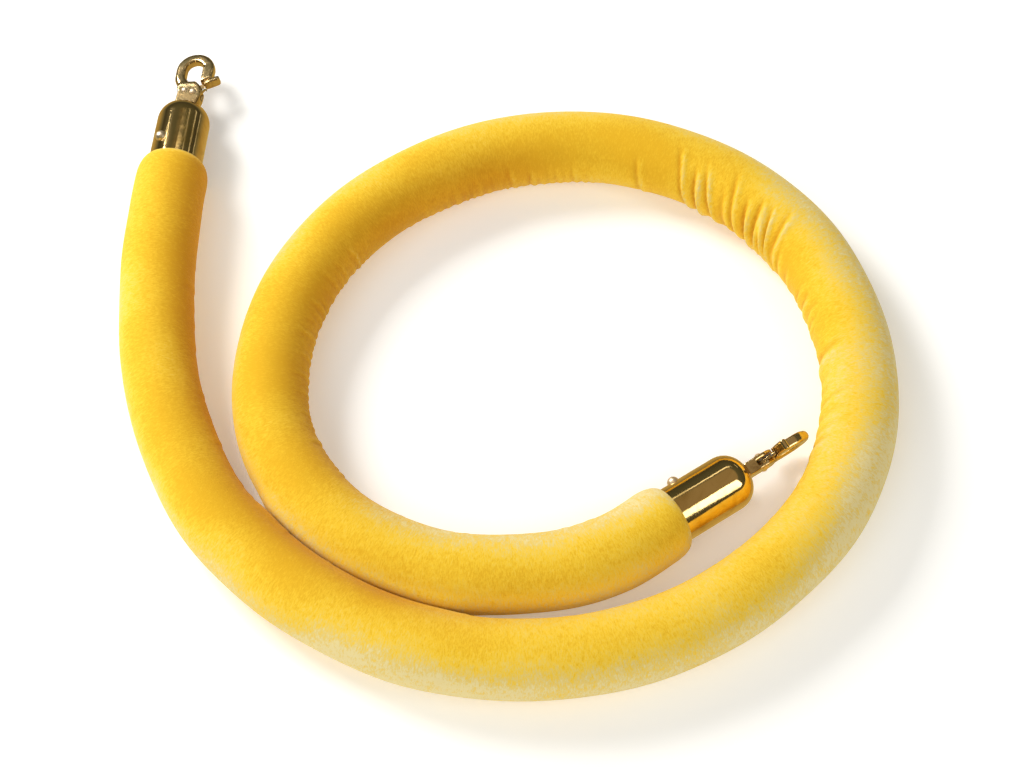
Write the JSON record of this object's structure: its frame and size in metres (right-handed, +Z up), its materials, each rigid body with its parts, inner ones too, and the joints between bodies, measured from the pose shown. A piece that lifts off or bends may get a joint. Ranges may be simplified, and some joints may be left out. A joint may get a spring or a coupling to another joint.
{
  "type": "velvet barrier rope",
  "caption": "Yellow velvet barrier rope lying in a loose spiral, with domed gold end caps and swivelling snap hooks with sprung gates.",
  "frame": {"origin": "on the floor, at the middle of the lying rope's bounding box", "axes": "+Z up; +Y away from the open side of the spiral, towards hook A; +X along the longest side"},
  "size_m": [0.3973, 0.3823, 0.0391],
  "materials": {
    "velvet": "golden yellow crushed velvet pile",
    "foam": "soft foam",
    "cord": "white braided cord",
    "polished_brass": "mirror-polished gold plate",
    "cast_brass": "polished gold-plated casting",
    "plug_wood": "turned wood",
    "steel": "plain steel"
  },
  "bodies": {
    "rope": {"velvet_sleeve": "velvet", "foam_core": "foam", "tension_cord": "cord", "end_cap_a": "polished_brass", "end_plug_a": "plug_wood", "cap_rivet_a": "polished_brass", "sleeve_clamp_a": "steel", "cord_ferrule_a": "steel", "swivel_washer_a": "steel", "end_cap_b": "polished_brass", "end_plug_b": "plug_wood", "cap_rivet_b": "polished_brass", "sleeve_clamp_b": "steel", "cord_ferrule_b": "steel", "swivel_washer_b": "steel"},
    "hook_a": {"shank_collar_a": "steel", "snap_hook_a": "cast_brass", "gate_pin_a": "cast_brass", "gate_spring_a": "steel", "spring_rivet_a": "cast_brass"},
    "gate_a": {"gate_lever_a": "cast_brass"},
    "hook_b": {"shank_collar_b": "steel", "snap_hook_b": "cast_brass", "gate_pin_b": "cast_brass", "gate_spring_b": "steel", "spring_rivet_b": "cast_brass"},
    "gate_b": {"gate_lever_b": "cast_brass"}
  },
  "joints": [
    {"name": "hook_a_swivel", "type": "hinge", "parent": "rope", "child": "hook_a", "pos_m": [-0.17339, 0.15338, 0.01578], "axis": [0.0643, 0.9969, -0.045], "continuous": true},
    {"name": "gate_a_hinge", "type": "hinge", "parent": "hook_a", "child": "gate_a", "pos_m": [-0.16998, 0.16318, 0.01572], "axis": [0.136, -0.0535, -0.9893], "range_deg": [0, 35], "stiffness_Nm_per_rad": 0.06, "springref_deg": -28.65, "deforming": ["gate_spring_a"]},
    {"name": "hook_b_swivel", "type": "hinge", "parent": "rope", "child": "hook_b", "pos_m": [0.12033, -0.07269, 0.01567], "axis": [0.8279, 0.5593, -0.0415], "continuous": true},
    {"name": "gate_b_hinge", "type": "hinge", "parent": "hook_b", "child": "gate_b", "pos_m": [0.12905, -0.06756, 0.01798], "axis": [0.5377, -0.8126, -0.2248], "range_deg": [0, 35], "stiffness_Nm_per_rad": 0.06, "springref_deg": -28.65, "deforming": ["gate_spring_b"]}
  ]
}
